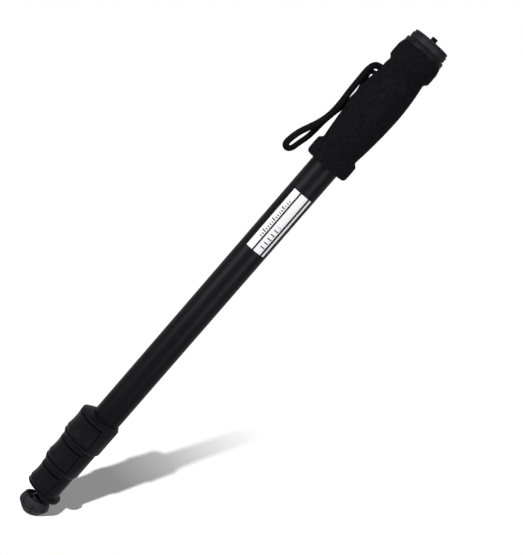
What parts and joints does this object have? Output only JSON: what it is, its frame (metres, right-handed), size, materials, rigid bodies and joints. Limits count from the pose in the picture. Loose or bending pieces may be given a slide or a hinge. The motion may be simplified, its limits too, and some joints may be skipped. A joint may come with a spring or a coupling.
{
  "type": "camera monopod",
  "caption": "Folded telescoping camera monopod with flip locks, foam grip, wrist strap, camera screw and tilting rubber foot.",
  "frame": {"origin": "centre of the camera platform's rubber face, at the root of the camera screw", "axes": "+Z along the tubes towards the camera, -Y the way the levers of the flip locks face"},
  "size_m": [0.0482, 0.0514, 0.5395],
  "materials": {
    "black_tube": "satin black anodised",
    "lock_plastic": "fine moulded texture",
    "lever_plastic": "satin moulded",
    "platform_metal": "satin black anodised",
    "pad_rubber": "mottled matte",
    "screw_steel": "blackened",
    "grip_foam": "closed-cell foam, matte",
    "strap_cord": "woven",
    "fitting_steel": "plain zinc",
    "foot_plastic": "satin moulded",
    "foot_rubber": "matte",
    "brake_plastic": "matte",
    "guide_nylon": "natural nylon",
    "scale_label": "printed film"
  },
  "bodies": {
    "upper_section": {"tube_1": "black_tube", "head_plug": "lock_plastic", "plug_screw": "fitting_steel", "platform": "platform_metal", "platform_pad": "pad_rubber", "camera_screw": "screw_steel", "foam_grip": "grip_foam", "wrist_strap": "strap_cord", "strap_anchor": "fitting_steel", "collar_1": "lock_plastic", "pin_1": "fitting_steel", "liner_1": "guide_nylon"},
    "lever_1": {"lever_1": "lever_plastic"},
    "shoe_1": {"shoe_1": "brake_plastic"},
    "section_2": {"tube_2": "black_tube", "guide_2": "guide_nylon", "collar_2": "lock_plastic", "pin_2": "fitting_steel", "liner_2": "guide_nylon"},
    "lever_2": {"lever_2": "lever_plastic"},
    "shoe_2": {"shoe_2": "brake_plastic"},
    "section_3": {"tube_3": "black_tube", "guide_3": "guide_nylon", "collar_3": "lock_plastic", "pin_3": "fitting_steel", "liner_3": "guide_nylon"},
    "lever_3": {"lever_3": "lever_plastic"},
    "shoe_3": {"shoe_3": "brake_plastic"},
    "section_4": {"tube_4": "black_tube", "guide_4": "guide_nylon", "end_cap": "lock_plastic"},
    "foot_stud": {"foot_stud": "fitting_steel", "stud_nut": "fitting_steel"},
    "foot": {"foot_socket": "foot_plastic", "foot_pad": "foot_rubber"}
  },
  "joints": [
    {"name": "section_2_slide", "type": "slide", "parent": "upper_section", "child": "section_2", "axis": [0, 0, -1], "range_m": [0, 0.374]},
    {"name": "section_3_slide", "type": "slide", "parent": "section_2", "child": "section_3", "axis": [0, 0, -1], "range_m": [0, 0.374]},
    {"name": "section_4_slide", "type": "slide", "parent": "section_3", "child": "section_4", "axis": [0, 0, -1], "range_m": [0, 0.374]},
    {"name": "lever_1_flip", "type": "hinge", "parent": "upper_section", "child": "lever_1", "pos_m": [0, -0.02009, -0.4313], "axis": [-1, 0, 0], "range_deg": [0, 90]},
    {"name": "shoe_1_slide", "type": "slide", "parent": "upper_section", "child": "shoe_1", "axis": [0, -1, 0], "range_m": [0, 0.0003]},
    {"name": "lever_2_flip", "type": "hinge", "parent": "section_2", "child": "lever_2", "pos_m": [0, -0.01808, -0.4607], "axis": [-1, 0, 0], "range_deg": [0, 90]},
    {"name": "shoe_2_slide", "type": "slide", "parent": "section_2", "child": "shoe_2", "axis": [0, -1, 0], "range_m": [0, 0.0003]},
    {"name": "lever_3_flip", "type": "hinge", "parent": "section_3", "child": "lever_3", "pos_m": [0, -0.01573, -0.4898], "axis": [-1, 0, 0], "range_deg": [0, 90]},
    {"name": "shoe_3_slide", "type": "slide", "parent": "section_3", "child": "shoe_3", "axis": [0, -1, 0], "range_m": [0, 0.0003]},
    {"name": "foot_swivel", "type": "hinge", "parent": "section_4", "child": "foot_stud", "pos_m": [0, 0, -0.5121], "axis": [0, 0, 1], "continuous": true},
    {"name": "foot_tilt", "type": "hinge", "parent": "foot_stud", "child": "foot", "pos_m": [0, 0, -0.5216], "axis": [-0.7071, 0.7071, 0], "range_deg": [-15, 35]}
  ],
  "couplings": [
    {"joint": "shoe_1_slide", "follows": "lever_1_flip", "m_per_rad": 0.00019},
    {"joint": "shoe_2_slide", "follows": "lever_2_flip", "m_per_rad": 0.00019},
    {"joint": "shoe_3_slide", "follows": "lever_3_flip", "m_per_rad": 0.00019}
  ]
}
